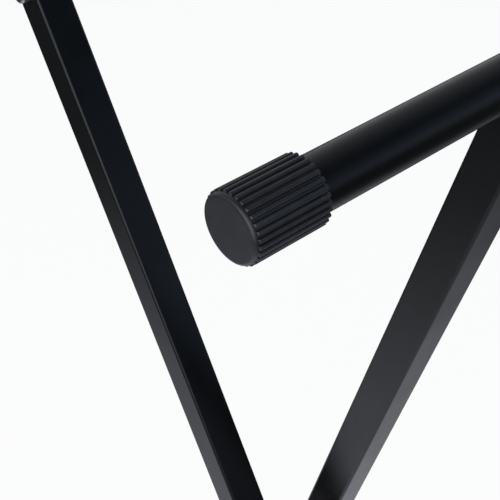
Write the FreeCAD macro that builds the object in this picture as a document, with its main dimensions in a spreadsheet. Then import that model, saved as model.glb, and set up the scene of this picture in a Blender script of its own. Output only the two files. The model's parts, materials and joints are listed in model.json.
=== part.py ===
import FreeCAD, Part
import Sketcher
import math
import os

# Folding X keyboard stand, millimetres.
# X runs across the stand, Y from the front to the back, Z up.
# The floor is z = 0, and y = 0 lies midway between the two legs.

os.makedirs("parts", exist_ok=True)
document = FreeCAD.newDocument("folding_keyboard_stand")
sheet = document.addObject("Spreadsheet::Sheet", "sizes")
vector = FreeCAD.Vector
X_AXIS = vector(1, 0, 0)
Y_AXIS = vector(0, 1, 0)
Z_AXIS = vector(0, 0, 1)


# ---------------------------------------------------------------- sizes

class Size:
    """A number together with the sheet formula that it stands for."""

    def __init__(self, value, formula):
        self.value = float(value)
        self.formula = formula

    def __add__(self, other):
        other = as_size(other)
        return Size(self.value + other.value, f"({self.formula} + {other.formula})")

    def __sub__(self, other):
        other = as_size(other)
        return Size(self.value - other.value, f"({self.formula} - {other.formula})")

    def __mul__(self, other):
        other = as_size(other)
        return Size(self.value * other.value, f"({self.formula} * {other.formula})")

    def __truediv__(self, other):
        other = as_size(other)
        return Size(self.value / other.value, f"({self.formula} / {other.formula})")

    def __neg__(self):
        return Size(-self.value, f"(-{self.formula})")


def as_size(amount):
    """Let plain numbers take part in a formula."""
    if isinstance(amount, Size):
        return amount
    return Size(amount, repr(float(amount)))


named_sizes = []


def size(alias, number):
    """Write one driving dimension into the sheet."""
    named_sizes.append(alias)
    row = len(named_sizes)
    sheet.set(f"A{row}", alias)
    sheet.set(f"B{row}", str(number))
    sheet.setAlias(f"B{row}", alias)
    return Size(number, f"sizes.{alias}")


# the X frame
half_angle = size("half_angle", 21.9)
tube_width = size("tube_width", 25.0)
tube_wall = size("tube_wall", 1.5)
tube_corner = size("tube_corner", 2.0)
leg_gap = size("leg_gap", 25.0)
arm_reach = size("arm_reach", 504.3)
foot_reach = size("foot_reach", 504.3)

# round arms and feet
bar_radius = size("bar_radius", 11.9)
bar_wall = size("bar_wall", 1.5)
arm_length = size("arm_length", 313.5)
foot_length = size("foot_length", 400.0)

# stub that plugs an arm or a foot into a leg
leg_end_gap = size("leg_end_gap", 3.0)
stub_clearance = size("stub_clearance", 0.2)
stub_wall = size("stub_wall", 1.5)
stub_corner = size("stub_corner", 2.0)
stub_depth = size("stub_depth", 80.0)

# screw, lock washer and weld nut at each stub
screw_inset = size("screw_inset", 18.0)
screw_radius = size("screw_radius", 4.0)
screw_tip = size("screw_tip", 1.5)
screw_lead = size("screw_lead", 0.8)
screw_head_radius = size("screw_head_radius", 7.0)
screw_head_height = size("screw_head_height", 4.4)
screw_head_round = size("screw_head_round", 2.6)
socket_flats = size("socket_flats", 5.0)
socket_depth = size("socket_depth", 2.6)
screw_hole_play = size("screw_hole_play", 0.3)
thread_play = size("thread_play", 0.05)
lock_washer_radius = size("lock_washer_radius", 6.6)
lock_washer_thickness = size("lock_washer_thickness", 2.0)
lock_washer_slit = size("lock_washer_slit", 1.2)
weld_nut_flats = size("weld_nut_flats", 13.0)
weld_nut_height = size("weld_nut_height", 6.5)

# ribbed rubber cap
cap_length = size("cap_length", 36.5)
cap_floor = size("cap_floor", 3.5)
cap_root_radius = size("cap_root_radius", 14.3)
cap_rim = size("cap_rim", 1.5)
cap_rib_start = size("cap_rib_start", 1.6)
cap_rib_radius = size("cap_rib_radius", 15.1)
cap_rib_top = size("cap_rib_top", 1.9)
cap_rib_foot = size("cap_rib_foot", 2.4)
cap_rib_sink = size("cap_rib_sink", 0.3)
cap_rib_count = size("cap_rib_count", 30)
cap_turn = size("cap_turn", -2.3)

# pivot
pivot_bolt_radius = size("pivot_bolt_radius", 5.0)
pivot_hex_flats = size("pivot_hex_flats", 16.0)
pivot_head_height = size("pivot_head_height", 6.4)
pivot_play = size("pivot_play", 0.05)
pivot_gap = size("pivot_gap", 0.1)
pivot_washer_radius = size("pivot_washer_radius", 10.5)
pivot_washer_thickness = size("pivot_washer_thickness", 2.0)
locknut_height = size("locknut_height", 7.5)
locknut_collar_radius = size("locknut_collar_radius", 7.0)
locknut_collar_height = size("locknut_collar_height", 2.5)
bolt_overhang = size("bolt_overhang", 2.0)
bolt_lead = size("bolt_lead", 1.0)
sleeve_radius = size("sleeve_radius", 8.0)
bush_radius = size("bush_radius", 6.5)
bush_depth = size("bush_depth", 9.0)
bush_flange_radius = size("bush_flange_radius", 12.0)
bush_flange_thickness = size("bush_flange_thickness", 1.5)
spacer_radius = size("spacer_radius", 12.0)

# locking disc: one hole for each height, and one for the folded stand
disc_radius = size("disc_radius", 45.0)
disc_thickness = size("disc_thickness", 5.0)
disc_edge = size("disc_edge", 0.8)
hole_circle_radius = size("hole_circle_radius", 36.0)
height_count = size("height_count", 5)
height_step = size("height_step", 16.0)
folded_turn = size("folded_turn", 40.0)
pin_radius = size("pin_radius", 3.5)
disc_hole_play = size("disc_hole_play", 0.25)

# spring plunger
plunger_travel = size("plunger_travel", 6.5)
pin_set_back = size("pin_set_back", 0.8)
pin_chamfer = size("pin_chamfer", 1.0)
pin_play = size("pin_play", 0.05)
nose_gap = size("nose_gap", 1.0)
housing_radius = size("housing_radius", 7.0)
housing_step_depth = size("housing_step_depth", 10.0)
housing_rear_length = size("housing_rear_length", 6.5)
housing_rear_radius = size("housing_rear_radius", 8.5)
housing_hex_flats = size("housing_hex_flats", 19.0)
housing_hex_height = size("housing_hex_height", 3.0)
spring_bore_radius = size("spring_bore_radius", 5.25)
spring_bore_play = size("spring_bore_play", 0.05)
collar_radius = size("collar_radius", 5.1)
collar_length = size("collar_length", 3.0)
rod_radius = size("rod_radius", 2.5)
rod_in_knob = size("rod_in_knob", 15.0)
end_cap_plug = size("end_cap_plug", 5.0)
end_cap_flange = size("end_cap_flange", 2.5)
spring_wire_radius = size("spring_wire_radius", 0.5)
spring_coil_radius = size("spring_coil_radius", 4.0)
spring_turns = size("spring_turns", 6)
spring_end_gap = size("spring_end_gap", 0.05)
knob_radius = size("knob_radius", 13.0)
knob_neck_radius = size("knob_neck_radius", 8.0)
knob_neck_length = size("knob_neck_length", 9.0)
knob_grip_length = size("knob_grip_length", 12.0)
knob_edge = size("knob_edge", 2.0)
knob_scallop_radius = size("knob_scallop_radius", 4.0)
knob_scallop_depth = size("knob_scallop_depth", 1.4)
knob_scallop_count = size("knob_scallop_count", 8)
knob_gap = size("knob_gap", 0.5)
roll_pin_radius = size("roll_pin_radius", 1.0)
roll_pin_wall = size("roll_pin_wall", 0.4)
roll_pin_play = size("roll_pin_play", 0.03)
roll_pin_inset = size("roll_pin_inset", 5.0)
roll_pin_end_gap = size("roll_pin_end_gap", 0.3)

document.recompute()

# lengths that several pieces share
end_clearance = bar_radius + leg_end_gap
leg_length = arm_reach + foot_reach - end_clearance * 2
leg_offset = (tube_width + leg_gap) / 2
tube_half = tube_width / 2
stub_half = tube_half - tube_wall - stub_clearance
screw_reach = end_clearance + screw_inset
screw_hole_radius = screw_radius + screw_hole_play
disc_back = tube_half - leg_offset + disc_thickness
nose_front = disc_back + nose_gap
leg_front = leg_offset - tube_half
leg_back = leg_offset + tube_half
pin_tip = disc_back - disc_thickness + pin_set_back + plunger_travel
housing_step = nose_front + housing_step_depth
housing_back = leg_back + housing_hex_height + housing_rear_length
collar_front = housing_step + plunger_travel + pivot_gap
collar_back = collar_front + collar_length
end_cap_back = housing_back + end_cap_flange
knob_front = end_cap_back + knob_gap + plunger_travel
front_stack = tube_width + bush_flange_thickness + pivot_gap + pivot_washer_thickness
rear_stack = tube_width + pivot_washer_thickness + locknut_height + locknut_collar_height + bolt_overhang
pivot_bolt_length = front_stack + leg_gap + rear_stack
roll_pin_length = (knob_neck_radius - roll_pin_end_gap) * 2


# ------------------------------------------------- sketches and features

def bind(feature, property_name, amount):
    """Tie one property of a feature to its formula in the sheet."""
    feature.setExpression(property_name, as_size(amount).formula)


def new_body(label):
    body = document.addObject("PartDesign::Body", label)
    body.Label = label
    return body


def new_sketch(body, plane_role, name):
    """A sketch on one of the body's own origin planes."""
    sketch = body.newObject("Sketcher::SketchObject", f"{body.Name}_{name}")
    plane = [item for item in body.Origin.OriginFeatures if item.Role == plane_role][0]
    sketch.AttachmentSupport = (plane, [""])
    sketch.MapMode = "FlatFace"
    return sketch


def fix_point(sketch, geometry, point, across, up):
    """Hold a sketch point at a place given by two sizes."""
    for kind, amount, axis in (("DistanceX", across, -2), ("DistanceY", up, -1)):
        amount = as_size(amount)
        if abs(amount.value) < 1e-9:
            sketch.addConstraint(Sketcher.Constraint("PointOnObject", geometry, point, axis))
            continue
        constraint = Sketcher.Constraint(kind, -1, 1, geometry, point, amount.value)
        index = sketch.addConstraint(constraint)
        bind(sketch, f"Constraints[{index}]", amount)


def circle(sketch, radius, across=0, up=0):
    """A circle with its radius and centre bound to the sheet."""
    centre = vector(as_size(across).value, as_size(up).value, 0)
    geometry = sketch.addGeometry(Part.Circle(centre, Z_AXIS, as_size(radius).value))
    fix_point(sketch, geometry, 3, across, up)
    index = sketch.addConstraint(Sketcher.Constraint("Radius", geometry, as_size(radius).value))
    bind(sketch, f"Constraints[{index}]", radius)


def polygon(sketch, corners):
    """A closed outline whose corners are pairs of sizes."""
    places = [vector(as_size(across).value, as_size(up).value, 0) for across, up in corners]
    first = sketch.GeometryCount
    count = len(corners)
    for index in range(count):
        sketch.addGeometry(Part.LineSegment(places[index], places[(index + 1) % count]))
    for index in range(count):
        following = first + (index + 1) % count
        sketch.addConstraint(Sketcher.Constraint("Coincident", first + index, 2, following, 1))
    for index, (across, up) in enumerate(corners):
        fix_point(sketch, first + index, 1, across, up)


def square(sketch, half):
    polygon(sketch, [(-half, -half), (half, -half), (half, half), (-half, half)])


def hexagon(sketch, flats):
    """A hexagon with two sides parallel to the sketch's first axis."""
    corner = flats / math.sqrt(3)
    side = corner / 2
    top = flats / 2
    polygon(sketch, [(corner, 0), (side, top), (-side, top), (-corner, 0), (-side, -top), (side, -top)])


def pad(body, sketch, length, name, downward=False):
    feature = body.newObject("PartDesign::Pad", f"{body.Name}_{name}")
    feature.Profile = sketch
    feature.Reversed = downward
    bind(feature, "Length", length)
    sketch.Visibility = False
    return feature


def pocket(body, sketch, length, name, upward=False, both_ways=False):
    feature = body.newObject("PartDesign::Pocket", f"{body.Name}_{name}")
    feature.Profile = sketch
    feature.Reversed = upward
    if both_ways:
        feature.SideType = "Symmetric"
    bind(feature, "Length", length)
    sketch.Visibility = False
    return feature


def revolve(body, corners, name):
    """Turn an outline of (radius, height) corners about the body's Z axis."""
    sketch = new_sketch(body, "XZ_Plane", name)
    polygon(sketch, corners)
    feature = body.newObject("PartDesign::Revolution", f"{body.Name}_{name}_turned")
    feature.Profile = sketch
    feature.ReferenceAxis = (sketch, ["V_Axis"])
    feature.Angle = 360
    sketch.Visibility = False
    return feature


def pattern(body, originals, sketch, angle, count, name, backward=False):
    """Repeat features about the normal of a sketch."""
    feature = body.newObject("PartDesign::PolarPattern", f"{body.Name}_{name}")
    feature.Originals = originals
    feature.Axis = (sketch, ["N_Axis"])
    feature.Reversed = backward
    bind(feature, "Angle", angle)
    bind(feature, "Occurrences", count)
    body.Tip = feature
    return feature


def dress(body, kind, base, amount, name, wanted):
    """Fillet or chamfer the edges of a feature that the test picks."""
    document.recompute()
    edges = [f"Edge{number}" for number, edge in enumerate(base.Shape.Edges, 1) if wanted(edge)]
    feature = body.newObject(f"PartDesign::{kind}", f"{body.Name}_{name}")
    feature.Base = (base, edges)
    bind(feature, "Radius" if kind == "Fillet" else "Size", amount)
    body.Tip = feature
    return feature


# two lengths this close count as equal when an edge is picked
NEAR = 0.01


def runs_along_z(half):
    """Test for the straight edges at the corners of a square of that half width."""
    def wanted(edge):
        box = edge.BoundBox
        straight = box.XLength < NEAR and box.YLength < NEAR
        on_corner = abs(abs(box.XMin) - half.value) < NEAR and abs(abs(box.YMin) - half.value) < NEAR
        return straight and on_corner
    return wanted


def circle_at(radius, height):
    """Test for the round edge of that radius at that height."""
    def wanted(edge):
        box = edge.BoundBox
        flat = box.ZLength < NEAR and abs(box.ZMin - height.value) < NEAR
        return flat and abs(box.XMax - radius.value) < NEAR
    return wanted


# ------------------------------------------------------- general pieces

def make_ring(label, place, outer, inner, length):
    """A plain tube, washer, sleeve or spacer along its own Z."""
    body = new_body(label)
    outline = new_sketch(body, "XY_Plane", "outline")
    circle(outline, outer)
    circle(outline, inner)
    pad(body, outline, length, "wall")
    body.Placement = place
    return body


def square_shell(body, half, wall, corner, length, downward):
    """A square tube with rounded corners inside and out, open at both ends."""
    outline = new_sketch(body, "XY_Plane", "outline")
    square(outline, half)
    block = pad(body, outline, length, "block", downward)
    block = dress(body, "Fillet", block, corner, "outer_corners", runs_along_z(half))
    hollow = new_sketch(body, "XY_Plane", "hollow")
    square(hollow, half - wall)
    inside = pocket(body, hollow, length, "inside", upward=not downward)
    return dress(body, "Fillet", inside, corner - wall, "inner_corners", runs_along_z(half - wall))


def make_leg(label, frame, plunger_hole):
    """A leg: pivot hole through both walls, and one screw hole near each end."""
    body = new_body(label)
    square_shell(body, tube_half, tube_wall, tube_corner, leg_length, False)
    pivot_up = foot_reach - end_clearance
    across = new_sketch(body, "XZ_Plane", "pivot_hole")
    circle(across, sleeve_radius, 0, pivot_up)
    if plunger_hole:
        circle(across, housing_radius, 0, pivot_up - hole_circle_radius)
    pocket(body, across, tube_width * 2, "pivot_bore", both_ways=True)
    ends = new_sketch(body, "XZ_Plane", "screw_holes")
    circle(ends, screw_hole_radius, 0, screw_inset)
    circle(ends, screw_hole_radius, 0, leg_length - screw_inset)
    pocket(body, ends, tube_width, "screw_bores")
    body.Placement = frame * FreeCAD.Placement(vector(0, 0, -pivot_up.value), FreeCAD.Rotation())
    return body


def make_stub(label, frame):
    """The square stub, notched to the round bar that it is welded to."""
    body = new_body(label)
    reach = end_clearance + stub_depth
    square_shell(body, stub_half, stub_wall, stub_corner, reach, True)
    notch = new_sketch(body, "XZ_Plane", "notch")
    circle(notch, bar_radius)
    pocket(body, notch, tube_width * 2, "saddle", both_ways=True)
    bore = new_sketch(body, "XZ_Plane", "bore")
    circle(bore, screw_hole_radius, 0, -screw_reach)
    pocket(body, bore, tube_width, "screw_bore")
    body.Placement = frame
    return body


def make_screw(label, place):
    """Button-head screw: head above z = 0, shank below."""
    body = new_body(label)
    shank = lock_washer_thickness + tube_wall + stub_clearance + stub_wall + weld_nut_height + screw_tip
    outline = [
        (0, -shank), (screw_radius - screw_lead, -shank), (screw_radius, screw_lead - shank), (screw_radius, 0),
        (screw_head_radius, 0), (screw_head_radius, screw_head_height), (0, screw_head_height)]
    turned = revolve(body, outline, "outline")
    rim = circle_at(screw_head_radius, screw_head_height)
    dress(body, "Fillet", turned, screw_head_round, "dome", rim)
    socket = new_sketch(body, "XY_Plane", "socket")
    hexagon(socket, socket_flats)
    socket.AttachmentOffset = FreeCAD.Placement(vector(0, 0, screw_head_height.value), FreeCAD.Rotation())
    bind(socket, "AttachmentOffset.Base.z", screw_head_height)
    pocket(body, socket, socket_depth, "key")
    body.Placement = place
    return body


def make_lock_washer(label, place):
    """Split spring washer: a ring with one slit."""
    body = new_body(label)
    outline = new_sketch(body, "XY_Plane", "outline")
    circle(outline, lock_washer_radius)
    circle(outline, screw_radius + screw_hole_play)
    pad(body, outline, lock_washer_thickness, "ring")
    slit = new_sketch(body, "XY_Plane", "slit")
    side = lock_washer_slit / 2
    polygon(slit, [(0, -side), (lock_washer_radius * 2, -side), (lock_washer_radius * 2, side), (0, side)])
    pocket(body, slit, lock_washer_thickness, "cut", upward=True)
    body.Placement = place
    return body


def make_nut(label, place, flats, height, bore):
    body = new_body(label)
    outline = new_sketch(body, "XY_Plane", "outline")
    hexagon(outline, flats)
    circle(outline, bore)
    pad(body, outline, height, "block")
    body.Placement = place
    return body


def make_cap(label, place):
    """Rubber cap: smooth face with a rounded rim, and flat-topped ribs along its side.

    Its face is at z = 0, and its mouth at z = cap_length. The first rib points along local Y.
    """
    body = new_body(label)
    outline = [
        (0, 0), (cap_root_radius, 0), (cap_root_radius, cap_length),
        (bar_radius, cap_length), (bar_radius, cap_floor), (0, cap_floor)]
    turned = revolve(body, outline, "outline")
    dress(body, "Fillet", turned, cap_rim, "rim", circle_at(cap_root_radius, as_size(0)))
    rib = new_sketch(body, "XY_Plane", "rib")
    rib.AttachmentOffset = FreeCAD.Placement(vector(0, 0, cap_rib_start.value), FreeCAD.Rotation())
    bind(rib, "AttachmentOffset.Base.z", cap_rib_start)
    sunk = cap_root_radius - cap_rib_sink
    foot = cap_rib_foot / 2
    top = cap_rib_top / 2
    polygon(rib, [(-foot, sunk), (foot, sunk), (top, cap_rib_radius), (-top, cap_rib_radius)])
    first = pad(body, rib, cap_length - cap_rib_start, "first_rib")
    pattern(body, [first], rib, 360, cap_rib_count, "ribs")
    body.Placement = place
    return body


def turned_to_back(across, along, up):
    """Place a piece so that its own Z points to the back (+Y)."""
    return FreeCAD.Placement(vector(across, along, up), FreeCAD.Rotation(X_AXIS, -90))


def make_bar(label, frame, length):
    """An arm or a foot: round bar, its stub and fastening, and two caps.

    In the bar's frame -Z points along the leg to the pivot.
    """
    half = length.value / 2
    offset = leg_offset.value
    make_ring(label, frame * turned_to_back(0, -offset - half, 0), bar_radius, bar_radius - bar_wall, length)
    make_stub(f"{label}_stub", frame)
    down = -screw_reach.value
    face = tube_half.value
    make_lock_washer(f"{label}_lock_washer", frame * turned_to_back(0, face, down))
    head_seat = face + lock_washer_thickness.value
    make_screw(f"{label}_screw", frame * turned_to_back(0, head_seat, down))
    nut_seat = stub_half.value - stub_wall.value - weld_nut_height.value
    nut_place = frame * turned_to_back(0, nut_seat, down)
    make_nut(f"{label}_weld_nut", nut_place, weld_nut_flats, weld_nut_height, screw_radius + thread_play)
    centre = frame.multVec(vector(0, -offset, 0))
    end = half + cap_floor.value
    twist = FreeCAD.Placement(vector(0, 0, 0), FreeCAD.Rotation(Z_AXIS, cap_turn.value))
    make_cap(f"{label}_front_cap", turned_to_back(centre.x, -end, centre.z) * twist)
    turned_to_front = FreeCAD.Rotation(X_AXIS, 90) * FreeCAD.Rotation(Z_AXIS, 180)
    rear_place = FreeCAD.Placement(vector(centre.x, end, centre.z), turned_to_front)
    make_cap(f"{label}_rear_cap", rear_place * twist)


# -------------------------------------------------------- pivot and lock

def make_pivot_bolt(label, place):
    """Hex bolt: head below z = 0, shank above."""
    body = new_body(label)
    head = new_sketch(body, "XY_Plane", "head")
    hexagon(head, pivot_hex_flats)
    pad(body, head, pivot_head_height, "hex", downward=True)
    shank = new_sketch(body, "XY_Plane", "shank")
    circle(shank, pivot_bolt_radius)
    rod = pad(body, shank, pivot_bolt_length, "rod")
    dress(body, "Chamfer", rod, bolt_lead, "lead", circle_at(pivot_bolt_radius, pivot_bolt_length))
    body.Placement = place
    return body


def make_locknut(label, place):
    """Hex nut with the round collar that holds its nylon ring."""
    body = make_nut(label, place, pivot_hex_flats, locknut_height, pivot_bolt_radius + thread_play)
    collar = new_sketch(body, "XY_Plane", "collar")
    circle(collar, locknut_collar_radius)
    circle(collar, pivot_bolt_radius + thread_play)
    pad(body, collar, locknut_height + locknut_collar_height, "collar_wall")
    return body


def make_bush(label, place):
    """Flanged nylon bush: flange below z = 0, barrel above."""
    body = new_body(label)
    bore = pivot_bolt_radius + pivot_play
    outline = [
        (bore, -bush_flange_thickness), (bush_flange_radius, -bush_flange_thickness),
        (bush_flange_radius, 0), (bush_radius, 0), (bush_radius, bush_depth), (bore, bush_depth)]
    revolve(body, outline, "outline")
    body.Placement = place
    return body


def make_disc(label, place):
    """Locking disc: a hole for each height, and one for the folded stand.

    The hole in use at rest lies along the disc's own X.
    """
    body = new_body(label)
    outline = new_sketch(body, "XY_Plane", "outline")
    circle(outline, disc_radius)
    circle(outline, sleeve_radius)
    plate = pad(body, outline, disc_thickness, "plate")
    dress(body, "Chamfer", plate, disc_edge, "edge", circle_at(disc_radius, disc_thickness))
    hole = new_sketch(body, "XY_Plane", "hole")
    circle(hole, pin_radius + disc_hole_play, hole_circle_radius, 0)
    first = pocket(body, hole, disc_thickness, "first_height", upward=True)
    pattern(body, [first], hole, height_step * (height_count - 1), height_count, "heights")
    pattern(body, [first], hole, folded_turn, 2, "folded", backward=True)
    body.Placement = place
    return body


def make_housing(label, place):
    """Plunger housing: nose and barrel through the leg, with a hex against its back."""
    body = new_body(label)
    step = housing_step_depth
    hex_at = leg_back - nose_front
    back = housing_back - nose_front
    outline = [
        (pin_radius + pin_play, 0), (housing_radius, 0), (housing_radius, hex_at),
        (housing_rear_radius, hex_at), (housing_rear_radius, back), (spring_bore_radius, back),
        (spring_bore_radius, step), (pin_radius + pin_play, step)]
    revolve(body, outline, "outline")
    flange = new_sketch(body, "XY_Plane", "flange")
    hexagon(flange, housing_hex_flats)
    circle(flange, (housing_radius + spring_bore_radius) / 2)
    flange.AttachmentOffset = FreeCAD.Placement(vector(0, 0, hex_at.value), FreeCAD.Rotation())
    bind(flange, "AttachmentOffset.Base.z", hex_at)
    pad(body, flange, housing_hex_height, "hex")
    body.Placement = place
    return body


def make_pin(label, place):
    """Plunger pin: chamfered tip, collar for the spring, and rod for the knob."""
    body = new_body(label)
    collar_at = collar_front - pin_tip
    rod_at = collar_at + collar_length
    end = knob_front - pin_tip + rod_in_knob
    outline = [
        (0, 0), (pin_radius - pin_chamfer, 0), (pin_radius, pin_chamfer), (pin_radius, collar_at),
        (collar_radius, collar_at), (collar_radius, rod_at), (rod_radius, rod_at), (rod_radius, end), (0, end)]
    revolve(body, outline, "outline")
    cross = new_sketch(body, "XZ_Plane", "cross")
    circle(cross, roll_pin_radius + roll_pin_play, 0, knob_front - pin_tip + roll_pin_inset)
    pocket(body, cross, rod_radius * 4, "cross_hole", both_ways=True)
    body.Placement = place
    return body


def make_end_cap(label, place):
    """Cap that closes the housing and guides the rod: plug below z = 0, flange above."""
    body = new_body(label)
    bore = rod_radius + pin_play
    plug = spring_bore_radius - spring_bore_play
    outline = [
        (bore, -end_cap_plug), (plug, -end_cap_plug), (plug, 0),
        (housing_rear_radius, 0), (housing_rear_radius, end_cap_flange), (bore, end_cap_flange)]
    revolve(body, outline, "outline")
    body.Placement = place
    return body


def make_spring(label, place):
    """Compression spring of round wire, standing between z = 0 and the spring's height."""
    body = new_body(label)
    height = housing_back - end_cap_plug - collar_back - spring_end_gap * 2
    wire = new_sketch(body, "XZ_Plane", "wire")
    circle(wire, spring_wire_radius, spring_coil_radius, spring_wire_radius)
    coil = body.newObject("PartDesign::AdditiveHelix", f"{body.Name}_coil")
    coil.Profile = wire
    coil.ReferenceAxis = (wire, ["V_Axis"])
    coil.Mode = "height-turns-angle"
    coil.Angle = 0
    bind(coil, "Height", height - spring_wire_radius * 2)
    bind(coil, "Turns", spring_turns)
    body.Tip = coil
    body.Placement = place
    return body


def make_knob(label, place):
    """Pull knob: neck towards the stand, and a scalloped grip behind it."""
    body = new_body(label)
    neck_end = knob_neck_length
    end = knob_neck_length + knob_grip_length
    outline = [
        (rod_radius, 0), (knob_neck_radius, 0), (knob_neck_radius, neck_end), (knob_radius, neck_end),
        (knob_radius, end), (0, end), (0, rod_in_knob), (rod_radius, rod_in_knob)]
    turned = revolve(body, outline, "outline")
    dress(body, "Fillet", turned, knob_edge, "dome", circle_at(knob_radius, end))
    cross = new_sketch(body, "XZ_Plane", "cross")
    circle(cross, roll_pin_radius + roll_pin_play, 0, roll_pin_inset)
    pocket(body, cross, knob_neck_radius * 4, "cross_hole", both_ways=True)
    scallop = new_sketch(body, "XY_Plane", "scallop")
    circle(scallop, knob_scallop_radius, knob_radius + knob_scallop_radius - knob_scallop_depth, 0)
    scallop.AttachmentOffset = FreeCAD.Placement(vector(0, 0, neck_end.value), FreeCAD.Rotation())
    bind(scallop, "AttachmentOffset.Base.z", neck_end)
    first = pocket(body, scallop, knob_grip_length, "first_scallop", upward=True)
    pattern(body, [first], scallop, 360, knob_scallop_count, "scallops")
    body.Placement = place
    return body


# -------------------------------------------------------------- assembly

tilt = half_angle.value
pivot_height = cap_rib_radius.value + foot_reach.value * math.cos(math.radians(tilt))
half_turn = FreeCAD.Rotation(Z_AXIS, 180)
rear_frame = FreeCAD.Placement(
    vector(0, leg_offset.value, pivot_height), FreeCAD.Rotation(Y_AXIS, tilt))
front_frame = FreeCAD.Placement(
    vector(0, -leg_offset.value, pivot_height), FreeCAD.Rotation(Y_AXIS, -tilt) * half_turn)

make_leg("rear_leg", rear_frame, True)
make_leg("front_leg", front_frame, False)

arm_shift = FreeCAD.Placement(vector(0, 0, arm_reach.value), FreeCAD.Rotation())
foot_shift = FreeCAD.Placement(vector(0, 0, -foot_reach.value), FreeCAD.Rotation(Y_AXIS, 180))
make_bar("right_arm", rear_frame * arm_shift, arm_length)
make_bar("left_foot", rear_frame * foot_shift, foot_length)
make_bar("left_arm", front_frame * arm_shift, arm_length)
make_bar("right_foot", front_frame * foot_shift, foot_length)

# the pieces on the pivot, from the front to the back
front_face = -leg_offset.value - tube_half.value
bush_seat = front_face - bush_flange_thickness.value
head_washer_at = bush_seat - pivot_gap.value - pivot_washer_thickness.value
rear_bush_face = disc_back.value + bush_flange_thickness.value
spacer_at = disc_back + bush_flange_thickness + pivot_gap
rear_washer_at = leg_back.value
locknut_at = rear_washer_at + pivot_washer_thickness.value


def on_pivot(along):
    return turned_to_back(0, along, pivot_height)


def on_pivot_reversed(along):
    """Place a piece on the pivot with its own Z towards the front."""
    return FreeCAD.Placement(vector(0, along, pivot_height), FreeCAD.Rotation(X_AXIS, 90))


bolt_bore = pivot_bolt_radius + pivot_play
make_pivot_bolt("pivot_bolt", on_pivot(head_washer_at))
make_ring("bolt_head_washer", on_pivot(head_washer_at), pivot_washer_radius, bolt_bore, pivot_washer_thickness)
make_bush("front_pivot_bush", on_pivot(front_face))
make_ring("front_leg_sleeve", on_pivot(front_face), sleeve_radius, bush_radius, tube_width + disc_thickness)
make_bush("disc_pivot_bush", on_pivot_reversed(disc_back.value))
make_ring("pivot_spacer", on_pivot(spacer_at.value), spacer_radius, bolt_bore, leg_front - spacer_at)
make_ring("rear_leg_sleeve", on_pivot(leg_front.value), sleeve_radius, bolt_bore, tube_width)
make_ring("locknut_washer", on_pivot(rear_washer_at), pivot_washer_radius, bolt_bore, pivot_washer_thickness)
make_locknut("pivot_locknut", on_pivot(locknut_at))

# the disc turns with the front leg; its first hole faces the plunger at rest
disc_turn = FreeCAD.Rotation(Y_AXIS, 90 + tilt) * FreeCAD.Rotation(X_AXIS, -90)
disc_place = FreeCAD.Placement(vector(0, disc_back.value - disc_thickness.value, pivot_height), disc_turn)
make_disc("locking_disc", disc_place)


def on_plunger(along):
    """Place a piece on the plunger's axis, below the pivot on the rear leg."""
    drop = vector(0, along.value - leg_offset.value, -hole_circle_radius.value)
    return rear_frame * FreeCAD.Placement(drop, FreeCAD.Rotation(X_AXIS, -90))


make_housing("plunger_housing", on_plunger(nose_front))
make_pin("plunger_pin", on_plunger(pin_tip))
make_spring("plunger_spring", on_plunger(collar_back + spring_end_gap))
make_end_cap("plunger_end_cap", on_plunger(housing_back))
make_knob("plunger_knob", on_plunger(knob_front))

roll_pin_start = vector(
    0, (knob_front + roll_pin_inset - leg_offset).value, -(hole_circle_radius + roll_pin_length / 2).value)
roll_pin_place = rear_frame * FreeCAD.Placement(roll_pin_start, FreeCAD.Rotation())
make_ring("knob_roll_pin", roll_pin_place, roll_pin_radius, roll_pin_radius - roll_pin_wall, roll_pin_length)


# ---------------------------------------------------------------- output

document.recompute()
for item in document.Objects:
    if "Invalid" in item.State or "Error" in item.State:
        raise RuntimeError(f"{item.Label} did not compute: {item.State}")
    if item.TypeId == "PartDesign::Pocket" and item.Shape.Volume >= item.BaseFeature.Shape.Volume:
        raise RuntimeError(f"{item.Label} cuts nothing")
bodies = [item for item in document.Objects if item.TypeId == "PartDesign::Body"]
for body in bodies:
    shape = body.Shape
    if shape.isNull() or not shape.isValid() or len(shape.Solids) != 1:
        raise RuntimeError(f"{body.Label} is not one valid solid")
    shape.exportStep(f"parts/{body.Label}.step")
print(len(bodies), "pieces written")
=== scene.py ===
import bmesh
import bpy
import json
import math
import numpy as np
from mathutils import Matrix, Vector


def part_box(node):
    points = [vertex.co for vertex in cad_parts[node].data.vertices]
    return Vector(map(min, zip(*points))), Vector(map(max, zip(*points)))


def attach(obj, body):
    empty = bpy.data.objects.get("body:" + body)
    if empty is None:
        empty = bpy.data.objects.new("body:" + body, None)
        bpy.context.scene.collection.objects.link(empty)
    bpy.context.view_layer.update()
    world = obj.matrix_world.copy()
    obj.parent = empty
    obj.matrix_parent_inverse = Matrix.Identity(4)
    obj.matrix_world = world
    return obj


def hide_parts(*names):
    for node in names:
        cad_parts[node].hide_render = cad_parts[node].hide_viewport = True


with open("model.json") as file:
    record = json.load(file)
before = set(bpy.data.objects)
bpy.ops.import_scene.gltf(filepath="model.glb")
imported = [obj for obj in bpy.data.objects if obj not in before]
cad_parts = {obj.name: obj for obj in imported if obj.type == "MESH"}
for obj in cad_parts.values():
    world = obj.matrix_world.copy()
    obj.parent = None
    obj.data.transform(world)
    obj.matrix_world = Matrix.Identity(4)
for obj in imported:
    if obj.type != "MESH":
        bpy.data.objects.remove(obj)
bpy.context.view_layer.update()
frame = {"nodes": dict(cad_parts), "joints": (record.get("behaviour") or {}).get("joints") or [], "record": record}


# ---------------------------------------------------------------- camera
# The stand is seen from its front right and above, close to its upper right corner.
# The camera's place is counted from the pivot, and its turn from the level view.

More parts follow.
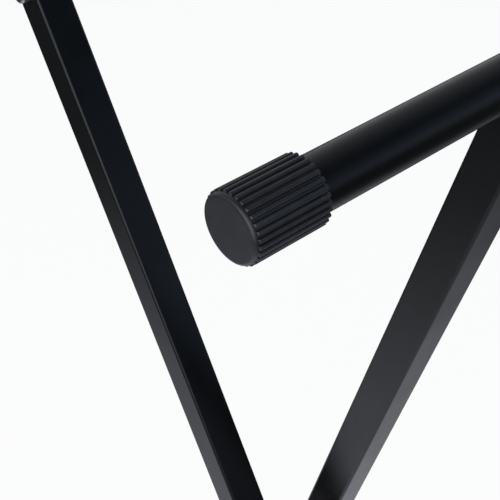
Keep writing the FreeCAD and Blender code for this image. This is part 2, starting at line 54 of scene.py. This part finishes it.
pivot = Vector(frame["joints"][0]["pos_m"])
camera_from_pivot = Vector((0.434525, -0.338766, 0.663436))
camera_azimuth = math.radians(52.797)
camera_elevation = math.radians(33.925)
camera_roll = math.radians(-6.203)
camera_lens = 74.388
camera_sensor = 36.0
nearest_seen = 0.05
farthest_seen = 50.0

camera_data = bpy.data.cameras.new("camera")
camera_data.lens = camera_lens
camera_data.sensor_width = camera_sensor
camera_data.clip_start = nearest_seen
camera_data.clip_end = farthest_seen
camera = bpy.data.objects.new("camera", camera_data)
bpy.context.scene.collection.objects.link(camera)
swung = Matrix.Rotation(camera_azimuth, 4, "Z")
tipped = Matrix.Rotation(math.pi / 2 - camera_elevation, 4, "X")
rolled = Matrix.Rotation(camera_roll, 4, "Z")
camera.matrix_world = Matrix.Translation(pivot + camera_from_pivot) @ (swung @ tipped) @ rolled
bpy.context.scene.camera = camera


# ------------------------------------------------------------------ legs
# Two cold-rolled square steel tubes with rounded corners, cut square at both ends.
# They are powder coated satin black after welding: a thin skin with a faint orange peel.

leg_wall = 0.0015
leg_corner = 0.002
leg_lip = 0.0001
leg_end_gap = 0.003
corner_steps = 10
corner_support = 0.04
merge_distance = 1e-7
shading_break = math.radians(38)
powder_black = (0.0020, 0.0023, 0.0030, 1)
powder_worn = (0.0030, 0.0034, 0.0043, 1)
powder_roughness = (0.23, 0.30)
slow_waves = 28.0
rubbed_waves = 190.0
peel_waves = 750.0
coat_grain_waves = 3200.0
slow_bump = (0.08, 0.0003)
peel_bump = (0.08, 0.00006)
coat_grain_bump = (0.12, 0.00002)


def socket_values(shader, **values):
    """Set a shader's own sockets; underscores stand for the spaces in their names."""
    for name, value in values.items():
        shader.inputs[name.replace("_", " ")].default_value = value


def new_material(name):
    """An empty material with its nodes, its links, its shader and object coordinates in metres."""
    material = bpy.data.materials.new(name)
    material.use_nodes = True
    nodes = material.node_tree.nodes
    links = material.node_tree.links
    shader = nodes["Principled BSDF"]
    place = nodes.new("ShaderNodeTexCoord").outputs["Object"]
    return material, nodes, links, shader, place


def noise(nodes, links, place, scale, detail=2.0, roughness=0.5):
    """A noise texture over object coordinates; scale is in waves per metre."""
    texture = nodes.new("ShaderNodeTexNoise")
    socket_values(texture, Scale=scale, Detail=detail, Roughness=roughness)
    links.new(place, texture.inputs["Vector"])
    return texture.outputs["Fac"]


def spread(nodes, links, value, low, high, start=0.0, end=1.0, smooth=False):
    """Map a value that runs from start to end onto low to high, evenly or easing at both ends."""
    mapped = nodes.new("ShaderNodeMapRange")
    if smooth:
        mapped.interpolation_type = "SMOOTHSTEP"
    socket_values(mapped, From_Min=start, From_Max=end, To_Min=low, To_Max=high)
    links.new(value, mapped.inputs["Value"])
    return mapped.outputs["Result"]


def bump(nodes, links, shader, layers):
    """Stack bumps on a shader; each layer is a height, its strength, and its depth in metres."""
    below = None
    for height, strength, depth in layers:
        layer = nodes.new("ShaderNodeBump")
        socket_values(layer, Strength=strength, Distance=depth)
        links.new(height, layer.inputs["Height"])
        if below is not None:
            links.new(below, layer.inputs["Normal"])
        below = layer.outputs["Normal"]
    links.new(below, shader.inputs["Normal"])


def two_colours(nodes, links, shader, value, first, second, start=0.35, end=0.65):
    """Colour that runs from first to second as the value runs from start to end."""
    ramp = nodes.new("ShaderNodeValToRGB")
    ramp.color_ramp.elements[0].position = start
    ramp.color_ramp.elements[0].color = first
    ramp.color_ramp.elements[1].position = end
    ramp.color_ramp.elements[1].color = second
    links.new(value, ramp.inputs["Fac"])
    links.new(ramp.outputs["Color"], shader.inputs["Base Color"])


def powder_coat():
    """Satin black powder coat: fine orange peel over a slow waviness, and slightly uneven gloss."""
    material, nodes, links, shader, place = new_material("black_powder_coat")
    slow = noise(nodes, links, place, slow_waves, detail=3.0)
    rubbed = noise(nodes, links, place, rubbed_waves, detail=5.0, roughness=0.65)
    peel = noise(nodes, links, place, peel_waves, detail=3.0, roughness=0.55)
    grain = noise(nodes, links, place, coat_grain_waves)
    two_colours(nodes, links, shader, rubbed, powder_black, powder_worn)
    gloss = spread(nodes, links, slow, *powder_roughness, start=0.3, end=0.7)
    links.new(gloss, shader.inputs["Roughness"])
    socket_values(shader, IOR=1.5)
    layers = [(slow, *slow_bump), (peel, *peel_bump), (grain, *coat_grain_bump)]
    bump(nodes, links, shader, layers)
    return material


powder = powder_coat()


def rounded_square(half, corner):
    """Outline of a square with rounded corners.

    Each corner is a quarter circle, with one more point on the flat just before and after it, so
    that the shading of the flats stays even.
    """
    support = corner * corner_support
    turn = np.linspace(0.0, math.pi / 2, corner_steps)
    centre = half - corner
    arc = np.stack([centre + corner * np.cos(turn), centre + corner * np.sin(turn)], axis=1)
    before = np.array([[half, centre - support]])
    after = np.array([[centre - support, half]])
    quarter = np.concatenate([before, arc, after])
    turned = np.stack([-quarter[:, 1], quarter[:, 0]], axis=1)
    side = np.concatenate([quarter, turned])
    return np.concatenate([side, -side])


def grid_faces(rows, columns, close_rows):
    """Quads over a grid of points: each row closed, the last row joined to the first if asked."""
    row = np.arange(rows if close_rows else rows - 1)
    row, column = np.meshgrid(row, np.arange(columns), indexing="ij")
    next_row = (row + 1) % rows
    next_column = (column + 1) % columns
    corners = [row * columns + column, row * columns + next_column,
               next_row * columns + next_column, next_row * columns + column]
    return np.stack(corners, axis=-1).reshape(-1, 4)


def surface(name, points, close_rows, body, material, stands_for=()):
    """Make a closed mesh of a grid of points in the frame, and hand it to its body.

    Points that fall together at a pole are made one, faces are turned outwards, and the shading
    breaks only where two faces meet at more than 38 degrees.
    """
    mesh = bpy.data.meshes.new(name)
    faces = grid_faces(points.shape[0], points.shape[1], close_rows)
    mesh.from_pydata(points.reshape(-1, 3).tolist(), [], faces.tolist())
    shell = bmesh.new()
    shell.from_mesh(mesh)
    bmesh.ops.remove_doubles(shell, verts=shell.verts, dist=merge_distance)
    bmesh.ops.recalc_face_normals(shell, faces=shell.faces)
    shell.to_mesh(mesh)
    shell.free()
    mesh.polygons.foreach_set("use_smooth", np.ones(len(mesh.polygons), dtype=bool))
    mesh.set_sharp_from_angle(angle=shading_break)
    mesh.materials.append(material)
    mesh.update()
    piece = bpy.data.objects.new(name, mesh)
    bpy.context.scene.collection.objects.link(piece)
    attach(piece, body)
    if stands_for:
        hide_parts(*stands_for)


def node_centre(node):
    """The middle of a CAD node's box at rest."""
    low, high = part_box(node)
    return (low + high) / 2


def square_tube(half, wall, corner, start, end):
    """Closed skin of a square tube along Z.

    Its rounded outline runs up the outside, over the broken edge of the mouth, down the bore and
    over the other mouth.
    """
    lip = leg_lip
    outer = rounded_square(half, corner)
    inner = rounded_square(half - wall, corner - wall)
    edge = rounded_square(half - lip, corner - lip)
    inner_edge = rounded_square(half - wall + lip, corner - wall + lip)
    rings = [
        (outer, start + lip), (outer, end - lip), (edge, end), (inner_edge, end),
        (inner, end - lip), (inner, start + lip), (inner_edge, start), (edge, start)]
    points = [np.concatenate([ring, np.full((len(ring), 1), up)], axis=1) for ring, up in rings]
    return np.array(points)


def placed(points, centre, along, front):
    """Carry points from a piece's own axes into the frame.

    Its Z runs along, its Y to the front or back, and its X is the cross product of the two.
    """
    z_axis = np.array(along, float) / np.linalg.norm(along)
    y_axis = np.array(front, float)
    x_axis = np.cross(y_axis, z_axis)
    return np.array(centre) + points @ np.array([x_axis, y_axis, z_axis])


bar_radius = (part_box("right_arm")[1].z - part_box("right_arm")[0].z) / 2
leg_half = (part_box("rear_leg")[1].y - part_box("rear_leg")[0].y) / 2
to_the_back = (0.0, 1.0, 0.0)
legs = {
    "rear_leg": ("rear_leg_body", "right_arm", "left_foot"),
    "front_leg": ("front_leg_body", "left_arm", "right_foot"),
}
leg_axes = {}
for leg, (body, arm, foot) in legs.items():
    arm_centre = node_centre(arm)
    foot_centre = node_centre(foot)
    along = (arm_centre - foot_centre).normalized()
    centre = Vector((pivot.x, node_centre(leg).y, pivot.z))
    to_bar = bar_radius + leg_end_gap
    up = (arm_centre - Vector((pivot.x, arm_centre.y, pivot.z))).length - to_bar
    down = (foot_centre - Vector((pivot.x, foot_centre.y, pivot.z))).length - to_bar
    skin = square_tube(leg_half, leg_wall, leg_corner, -down, up)
    points = placed(skin, centre, along, to_the_back)
    surface(leg + "_tube", points, True, body, powder, [leg])
    leg_axes[leg] = (centre, along)


# --------------------------------------------------------- arms and feet
# Four lengths of round steel tube, welded to square stubs and powder coated with the legs.
# Each has a rubber cap pushed over both ends.

bar_wall = 0.0015
bar_lip = 0.0002
bar_segments = 144
bar_bodies = {
    "right_arm": "rear_leg_body", "left_foot": "rear_leg_body",
    "left_arm": "front_leg_body", "right_foot": "front_leg_body",
}


def turned_skin(profile, segments):
    """Surface of revolution: each (radius, height) of the profile carried round the Z axis."""
    turn = np.linspace(0.0, 2 * math.pi, segments, endpoint=False)
    radius = profile[:, 0][:, None]
    height = np.repeat(profile[:, 1][:, None], segments, axis=1)
    return np.stack([radius * np.cos(turn), radius * np.sin(turn), height], axis=-1)


for bar, body in bar_bodies.items():
    low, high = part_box(bar)
    half = (high.y - low.y) / 2
    bore = bar_radius - bar_wall
    edge = bar_radius - bar_lip
    profile = np.array([
        (bar_radius, -half + bar_lip), (bar_radius, half - bar_lip), (edge, half), (bore, half),
        (bore, -half), (edge, -half)])
    points = placed(turned_skin(profile, bar_segments), node_centre(bar), to_the_back, (0, 0, -1))
    surface(bar + "_tube", points, True, body, powder, [bar])


# ----------------------------------------------------------- weld beads
# Each bar sits on a saddle-cut stub, and the disc, spacer and plunger housing on a leg.
# All are welded on before the coat, which softens the ripples of the beads.

bead_radius = 0.0013
bead_ripple = 0.0020
ripple_depth = 0.09
ripple_bulge = 0.22
bead_columns = 12
saddle_steps = 360
ring_steps = 240
seam_steps = 260
bead_end = 0.003
stub_corner = 0.002


def bead_skin(path, outward, closed):
    """Half-sunk bead along a path: a circle carried along it, swollen once in every ripple.

    A ripple bulges forward over the crown, as a puddle of weld sets, and the ends of an open
    bead close in like a ball.
    """
    ahead = np.roll(path, -1, axis=0) - np.roll(path, 1, axis=0)
    if not closed:
        ahead[0] = path[1] - path[0]
        ahead[-1] = path[-1] - path[-2]
    ahead = ahead / np.linalg.norm(ahead, axis=1, keepdims=True)
    outward = outward - ahead * np.sum(outward * ahead, axis=1, keepdims=True)
    outward = outward / np.linalg.norm(outward, axis=1, keepdims=True)
    aside = np.cross(ahead, outward)
    step = np.linalg.norm(np.diff(path, axis=0), axis=1)
    along = np.concatenate([[0.0], np.cumsum(step)])
    length = along[-1] + (np.linalg.norm(path[0] - path[-1]) if closed else 0.0)
    ripples = round(length / bead_ripple)
    turn = np.arange(bead_columns) * 2 * math.pi / bead_columns
    phase = along[:, None] / length * ripples + ripple_bulge * np.cos(turn)
    swell = 1 + ripple_depth * (2 * np.abs(np.sin(math.pi * phase)) - 1)
    if not closed:
        from_end = np.minimum(along, length - along) / bead_radius
        swell = swell * np.sqrt(1 - (1 - np.clip(from_end, 0, 1)) ** 2)[:, None]
    radius = (bead_radius * swell)[..., None]
    across = np.cos(turn)[:, None] * outward[:, None, :]
    across = across + np.sin(turn)[:, None] * aside[:, None, :]
    return path[:, None, :] + radius * across


def even_steps(path, count):
    """The same closed path with points at even distances."""
    shut = np.concatenate([path, path[:1]])
    run = np.concatenate([[0.0], np.cumsum(np.linalg.norm(np.diff(shut, axis=0), axis=1))])
    at = np.linspace(0.0, run[-1], count, endpoint=False)
    return np.stack([np.interp(at, run, shut[:, axis]) for axis in range(3)], axis=1)


def saddle_path(half):
    """Where a square stub along Z meets a bar along Y: the height follows the bar's circle."""
    flat_outline = np.pad(rounded_square(half, stub_corner), ((0, 0), (0, 1)))
    outline = even_steps(flat_outline, saddle_steps)
    height = -np.sqrt(bar_radius ** 2 - outline[:, 0] ** 2)
    return np.stack([outline[:, 0], outline[:, 1], height], axis=1)


for leg, (body, arm, foot) in legs.items():
    centre, along = leg_axes[leg]
    for bar, away in ((arm, along), (foot, -along)):
        stub_low, stub_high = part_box(bar + "_stub")
        path = saddle_path((stub_high.y - stub_low.y) / 2)
        bar_centre = node_centre(bar)
        seat = (bar_centre.x, centre.y, bar_centre.z)
        skin = bead_skin(path, path * np.array([1.0, 1.0, 0.0]), True)
        points = placed(skin, seat, away, to_the_back)
        surface(bar + "_weld", points, True, body, powder)


def ring_bead(name, radius, centre, body):
    """A bead round a turned piece whose axis runs along Y."""
    turn = np.linspace(0.0, 2 * math.pi, ring_steps, endpoint=False)
    outward = np.stack([np.cos(turn), np.zeros_like(turn), np.sin(turn)], axis=1)
    path = np.array(centre) + radius * outward
    surface(name, bead_skin(path, outward, True), True, body, powder)


rear_leg_y = node_centre("rear_leg").y
front_face = rear_leg_y - leg_half
rear_face = rear_leg_y + leg_half
spacer_low, spacer_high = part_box("pivot_spacer")
spacer_radius = (spacer_high.x - spacer_low.x) / 2
ring_bead("pivot_spacer_weld", spacer_radius, (pivot.x, front_face, pivot.z), "rear_leg_body")
housing_radius = 0.007
housing_centre = node_centre("plunger_housing")
for side, face in (("front", front_face), ("rear", rear_face)):
    at = (housing_centre.x, face, housing_centre.z)
    ring_bead(f"plunger_housing_{side}_weld", housing_radius, at, "rear_leg_body")

disc_low, disc_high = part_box("locking_disc")
disc_radius = (disc_high.x - disc_low.x) / 2
centre, along = leg_axes["front_leg"]
reach = math.sqrt(disc_radius ** 2 - leg_half ** 2) - bead_end
across = np.cross(to_the_back, along)
for side, sign in (("upper", 1.0), ("lower", -1.0)):
    step = np.linspace(-reach, reach, seam_steps)[:, None]
    corner = np.array((centre.x, centre.y + leg_half, centre.z)) + sign * leg_half * across
    path = corner + step * np.array(along)
    outward = np.repeat([sign * across - np.array(to_the_back)], len(path), axis=0)
    skin = bead_skin(path, outward, False)
    surface(f"locking_disc_{side}_weld", skin, False, "front_leg_body", powder)


# ----------------------------------------------------------- ribbed caps
# Moulded black rubber caps that keep the keyboard and the floor from slipping.
# Smooth face with a soft round rim, a step down, then thirty rounded ribs that run to the mouth.

rib_count = 30
rib_turn = math.radians(9.0)
cap_root = 0.0143
groove_root = 0.0137
cap_rim = 0.0015
cap_rim_steps = 9
cap_rim_support = 0.0008
cap_floor = 0.0035
rib_start = 0.0016
rib_nose = 0.0007
nose_steps = (0.0, 0.04, 0.15, 0.33, 0.6, 1.0)
mouth_chamfer = 0.0003
mouth_support = 0.0004
mouth_rise = 0.75
rib_half_pitch = 1.58
rib_across = np.array([0.0, 0.30, 0.50, 0.64, 0.76, 0.86, 0.94, 1.00, 1.08, 1.20, 1.58])
rib_heights = np.array([1.0, 0.995, 0.96, 0.90, 0.80, 0.66, 0.48, 0.30, 0.12, 0.02, 0.0])
rubber_black = (0.026, 0.027, 0.031, 1)
rubber_bloom = (0.034, 0.035, 0.039, 1)
rubber_sheen = 0.85
rubber_roughness = (0.33, 0.43)
bloom_waves = 130.0
rubber_grain_waves = 2300.0
speck_waves = 5200.0
bloom_bump = (0.15, 0.0002)
rubber_grain_bump = (0.22, 0.00004)
speck_bump = (0.15, 0.00002)


def rubber():
    """Matte moulded rubber: fine mould grain, faint bloom and handling marks."""
    material, nodes, links, shader, place = new_material("black_rubber")
    bloom = noise(nodes, links, place, bloom_waves, detail=5.0, roughness=0.6)
    grain = noise(nodes, links, place, rubber_grain_waves, detail=3.0, roughness=0.6)
    speck = noise(nodes, links, place, speck_waves)
    two_colours(nodes, links, shader, bloom, rubber_black, rubber_bloom)
    gloss = spread(nodes, links, bloom, *rubber_roughness, start=0.3, end=0.7)
    links.new(gloss, shader.inputs["Roughness"])
    socket_values(shader, IOR=1.5, Specular_IOR_Level=rubber_sheen)
    layers = [(bloom, *bloom_bump), (grain, *rubber_grain_bump), (speck, *speck_bump)]
    bump(nodes, links, shader, layers)
    return material


cap_rubber = rubber()


def cap_skin(mouth_radius, tip_radius, length):
    """Cap about Z, face at z = 0.

    The radius is the groove's, plus the rib's height times the share of a rib's cross-section at
    that angle, times how far the rib has risen behind the rim, along a quarter circle. Rows run
    from the face's centre over the rim and the wall into the bore. The cross-section is heights
    at distances in millimetres from the rib's middle, out to half the ribs' pitch.
    """
    rim_turn = np.linspace(0.0, math.pi / 2, cap_rim_steps)
    flat = cap_root - cap_rim
    wall_end = length - mouth_chamfer
    face = [(0.0, 0.0), (cap_root / 2, 0.0), (flat - cap_rim_support, 0.0)]
    rim = list(zip(flat + cap_rim * np.sin(rim_turn), cap_rim - cap_rim * np.cos(rim_turn)))
    nose = [(groove_root, rib_start + rib_nose * step) for step in nose_steps]
    wall = [(groove_root, wall_end - mouth_support), (groove_root, wall_end)]
    mouth = [(groove_root, length - mouth_chamfer / 2), (groove_root - mouth_chamfer, length),
             (mouth_radius, length)]
    bore = [(mouth_radius, cap_floor), (0.0, cap_floor)]
    profile = np.array(face + rim + nose + wall + mouth + bore)
    rib_offsets = rib_across / rib_half_pitch
    offsets = np.concatenate([rib_offsets, 2 - rib_offsets[-2:0:-1]])
    heights = np.concatenate([rib_heights, rib_heights[-2:0:-1]])
    rib = 2 * math.pi / rib_count
    turn = (rib_turn + rib * np.arange(rib_count)[:, None] + rib / 2 * offsets).ravel()
    section = np.tile(heights, rib_count)
    height = profile[:, 1]
    ribs_begin = len(face) + len(rim)
    mouth_begins = ribs_begin + len(nose) + len(wall)
    risen = np.sqrt(1 - (1 - np.clip((height - rib_start) / rib_nose, 0, 1)) ** 2)
    risen[:ribs_begin] = 0.0
    risen[mouth_begins] = mouth_rise
    risen[mouth_begins + 1:] = 0.0
    rib_height = (tip_radius - groove_root) * section[None, :] * risen[:, None]
    radius = profile[:, 0][:, None] + rib_height
    up = np.repeat(height[:, None], len(turn), 1)
    return np.stack([radius * np.cos(turn), radius * np.sin(turn), up], axis=-1)


for bar, body in bar_bodies.items():
    for end, inward in (("front", 1.0), ("rear", -1.0)):
        node = f"{bar}_{end}_cap"
        low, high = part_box(node)
        face_y = low.y if end == "front" else high.y
        centre = node_centre(node)
        skin = cap_skin(bar_radius, (high.z - low.z) / 2, high.y - low.y)
        points = placed(skin, (centre.x, face_y, centre.z), (0, inward, 0), (0, 0, -1))
        surface(f"{node}_ribbed", points, False, body, cap_rubber, [node])


# ------------------------------------------------ carried-over CAD pieces
# The stubs, fastenings, pivot and plunger keep their CAD shapes, with finishes of their own:
# powder coat where they were welded on before it, zinc plate, turned steel, nylon and plastic.

zinc_grey = (0.52, 0.53, 0.55, 1)
turned_grey = (0.45, 0.45, 0.46, 1)
tube_grey = (0.30, 0.29, 0.28, 1)
natural_nylon = (0.70, 0.68, 0.62, 1)
plastic_black = (0.018, 0.018, 0.019, 1)
cloud_waves = 220.0
mark_waves = 2400.0
mark_bump = (0.15, 0.00003)
cloud_shade = 0.8
cloud_gloss = 0.12
moulding_waves = 120.0
spark_grain_waves = 3000.0
spark_grain_bump = (0.2, 0.00003)
moulding_shade = 0.88
moulding_gloss = 0.08


def plated(name, colour, roughness):
    """Plated or turned steel: faint cloudiness in colour and gloss over fine tool marks."""
    material, nodes, links, shader, place = new_material(name)
    cloud = noise(nodes, links, place, cloud_waves, detail=4.0)
    marks = noise(nodes, links, place, mark_waves)
    darker = tuple(cloud_shade * part for part in colour[:3]) + (1,)
    two_colours(nodes, links, shader, cloud, darker, colour)
    gloss = spread(nodes, links, cloud, roughness, roughness + cloud_gloss)
    links.new(gloss, shader.inputs["Roughness"])
    socket_values(shader, Metallic=1.0)
    bump(nodes, links, shader, [(marks, *mark_bump)])
    return material


def moulded(name, colour, roughness):
    """Moulded plastic: even colour with a fine spark-eroded grain."""
    material, nodes, links, shader, place = new_material(name)
    cloud = noise(nodes, links, place, moulding_waves, detail=3.0)
    grain = noise(nodes, links, place, spark_grain_waves)
    darker = tuple(moulding_shade * part for part in colour[:3]) + (1,)
    two_colours(nodes, links, shader, cloud, darker, colour)
    gloss = spread(nodes, links, cloud, roughness, roughness + moulding_gloss)
    links.new(gloss, shader.inputs["Roughness"])
    bump(nodes, links, shader, [(grain, *spark_grain_bump)])
    return material


finishes = {
    "black_powder_coat": powder,
    "black_rubber": cap_rubber,
    "zinc_steel": plated("zinc_plate", zinc_grey, roughness=0.22),
    "bright_steel": plated("turned_steel", turned_grey, roughness=0.28),
    "raw_steel": plated("plain_tube_steel", tube_grey, roughness=0.45),
    "nylon": moulded("natural_nylon", natural_nylon, roughness=0.42),
    "black_plastic": moulded("black_plastic", plastic_black, roughness=0.40),
}
for entry in frame["record"]["subparts"]:
    for coated in frame["nodes"][entry["node"]].material_slots:
        coated.material = finishes[entry["material_slot"]]


# -------------------------------------------------------- floor and light
# A plain pale floor under soft studio light. It looks white and keeps a soft shadow. Reflections in
# the coat see a painted pool of light on it: a glow painted bright near the stand, dimmer farther off.

floor_half = 12.0
floor_white = 0.85
shadow_share = 0.20
seen_glow = 0.925
# Painted light: the pool of light and the rise at the backdrop's sweep are a cool-tinted glow painted on the floor
# for reflections, not light from the lamps.
painted_pool_centre = (-0.20, -0.15, 0.0)
painted_pool_radius = 1.5
painted_pool_near = 0.74
painted_pool_far = 0.06
sweep_start = 3.2
sweep_end = 5.5
painted_sweep_glow = 0.10
painted_pool_colour = (0.96, 0.99, 1.08, 1)
plain_white = (1, 1, 1, 1)

floor_data = bpy.data.meshes.new("floor")
floor_corners = [
    (-floor_half, -floor_half, 0), (floor_half, -floor_half, 0),
    (floor_half, floor_half, 0), (-floor_half, floor_half, 0)]
floor_data.from_pydata(floor_corners, [], [(0, 1, 2, 3)])
floor = bpy.data.objects.new("floor", floor_data)
bpy.context.scene.collection.objects.link(floor)


def sum_or_product(nodes, links, operation, first, second):
    """One math node; either value may be a number or a socket."""
    node = nodes.new("ShaderNodeMath")
    node.operation = operation
    for socket, value in zip(node.inputs, (first, second)):
        if isinstance(value, float):
            socket.default_value = value
        else:
            links.new(value, socket)
    return node.outputs["Value"]


def seen_directly(nodes, links, ray):
    """1 for rays that come from the eye, straight or through something clear, and 0 for others."""
    from_eye = ray.outputs["Is Camera Ray"]
    return sum_or_product(nodes, links, "ADD", from_eye, ray.outputs["Is Transmission Ray"])


def white_floor():
    """Pale floor: white to the eye with a share of its shadow, and a painted pool of light to reflections.

    The painted pool is a glow that only reflections see: it dims smoothly with distance from its
    centre, and a painted rise brightens it a little again where the sweep of the backdrop begins.
    """
    material = bpy.data.materials.new("white_floor")
    material.use_nodes = True
    nodes = material.node_tree.nodes
    links = material.node_tree.links
    nodes.clear()
    output = nodes.new("ShaderNodeOutputMaterial")
    plain = nodes.new("ShaderNodeBsdfDiffuse")
    plain.inputs["Color"].default_value = (floor_white, floor_white, floor_white, 1)
    glow = nodes.new("ShaderNodeEmission")
    ray = nodes.new("ShaderNodeLightPath")
    from_centre = nodes.new("ShaderNodeVectorMath")
    from_centre.operation = "DISTANCE"
    from_centre.inputs[1].default_value = painted_pool_centre
    links.new(nodes.new("ShaderNodeTexCoord").outputs["Object"], from_centre.inputs[0])
    away = from_centre.outputs["Value"]
    # Painted light: the pool's glow falls off with distance from its centre and rises at the sweep.
    painted_falloff = spread(nodes, links, away, painted_pool_near, painted_pool_far, 0.0, painted_pool_radius, smooth=True)
    painted_rise = spread(nodes, links, away, 0.0, painted_sweep_glow, sweep_start, sweep_end, smooth=True)
    painted_glow_level = sum_or_product(nodes, links, "ADD", painted_falloff, painted_rise)
    reflected = ray.outputs["Is Glossy Ray"]
    reflected_painted_glow = sum_or_product(nodes, links, "MULTIPLY", painted_glow_level, reflected)
    seen = seen_directly(nodes, links, ray)
    shown = sum_or_product(nodes, links, "MULTIPLY", seen, seen_glow / (1 - shadow_share))
    links.new(sum_or_product(nodes, links, "ADD", reflected_painted_glow, shown), glow.inputs["Strength"])
    # The painted pool of light is cool tinted in reflections; seen directly the floor is plain white.
    tint = nodes.new("ShaderNodeValToRGB")
    tint.color_ramp.elements[0].color = painted_pool_colour
    tint.color_ramp.elements[1].color = plain_white
    links.new(seen, tint.inputs["Fac"])
    links.new(tint.outputs["Color"], glow.inputs["Color"])
    seen_share = sum_or_product(nodes, links, "MULTIPLY", seen, 1 - shadow_share)
    mix = nodes.new("ShaderNodeMixShader")
    links.new(sum_or_product(nodes, links, "ADD", reflected, seen_share), mix.inputs["Fac"])
    links.new(plain.outputs["BSDF"], mix.inputs[1])
    links.new(glow.outputs["Emission"], mix.inputs[2])
    links.new(mix.outputs["Shader"], output.inputs["Surface"])
    return material


floor_data.materials.append(white_floor())


def softbox(name, place, target, size, power):
    """A soft rectangular lamp at a place, turned to a target, sized in metres, powered in watts."""
    data = bpy.data.lights.new(name, "AREA")
    data.shape = "RECTANGLE"
    data.size = size[0]
    data.size_y = size[1]
    data.energy = power
    light = bpy.data.objects.new(name, data)
    light.visible_camera = False
    bpy.context.scene.collection.objects.link(light)
    aim = (Vector(target) - Vector(place)).to_track_quat("-Z", "Y")
    light.matrix_world = Matrix.Translation(place) @ aim.to_matrix().to_4x4()


softbox("front_softbox", place=(1.2, -2.1, 1.4), target=(0, 0, 0.6), size=(4.2, 2.6), power=35)
softbox("top_softbox", place=(-1.2, 0.6, 2.6), target=(0, 0, 0.3), size=(1.2, 1.6), power=1.5)

# The room that the coat reflects: dark above, with a cool glow along the horizon, a pale wall to
# the left and behind, and a small dark card to the right.
wall_direction = (-0.80, 0.55, 0.20)
wall_edge = 0.1
wall_glow = 0.25
horizon_glow = 0.26
room_dark = 0.08
horizon_low = 0.10
horizon_high = 0.55
flag_direction = (0.84, 0.44, 0.30)
flag_outer = 0.9915
flag_inner = 0.9975
room_cool = (0.72, 0.93, 1.20, 1)
wall_neutral = (0.98, 1.0, 1.02, 1)

world = bpy.data.worlds.new("studio")
bpy.context.scene.world = world
world.use_nodes = True
world_nodes = world.node_tree.nodes
world_links = world.node_tree.links
room = world_nodes["Background"]
direction = world_nodes.new("ShaderNodeTexCoord").outputs["Generated"]


def towards(place):
    """How nearly a ray goes to a place in the room: the dot product of their unit directions."""
    product = world_nodes.new("ShaderNodeVectorMath")
    product.operation = "DOT_PRODUCT"
    product.inputs[1].default_value = Vector(place).normalized()
    world_links.new(direction, product.inputs[0])
    return product.outputs["Value"]


to_wall = towards(wall_direction)
bright = room_dark + wall_glow
wall = spread(world_nodes, world_links, to_wall, room_dark, bright, wall_edge, smooth=True)
parts = world_nodes.new("ShaderNodeSeparateXYZ")
world_links.new(direction, parts.inputs["Vector"])
height = parts.outputs["Z"]
horizon = spread(world_nodes, world_links, height, horizon_glow, 0.0, horizon_low, horizon_high)
open_room = sum_or_product(world_nodes, world_links, "ADD", wall, horizon)
to_flag = towards(flag_direction)
unshaded = spread(world_nodes, world_links, to_flag, 1.0, 0.0, flag_outer, flag_inner)
strength = sum_or_product(world_nodes, world_links, "MULTIPLY", open_room, unshaded)
room_colour = world_nodes.new("ShaderNodeValToRGB")
room_colour.color_ramp.elements[0].color = room_cool
room_colour.color_ramp.elements[1].color = wall_neutral
world_links.new(to_wall, room_colour.inputs["Fac"])
world_links.new(room_colour.outputs["Color"], room.inputs["Color"])
world_links.new(strength, room.inputs["Strength"])
white = world_nodes.new("ShaderNodeBackground")
white.inputs["Color"].default_value = plain_white
white.inputs["Strength"].default_value = 1.0
ray = world_nodes.new("ShaderNodeLightPath")
choice = world_nodes.new("ShaderNodeMixShader")
world_links.new(seen_directly(world_nodes, world_links, ray), choice.inputs["Fac"])
world_links.new(room.outputs["Background"], choice.inputs[1])
world_links.new(white.outputs["Background"], choice.inputs[2])
world_links.new(choice.outputs["Shader"], world_nodes["World Output"].inputs["Surface"])

bpy.context.scene.view_settings.view_transform = "Standard"
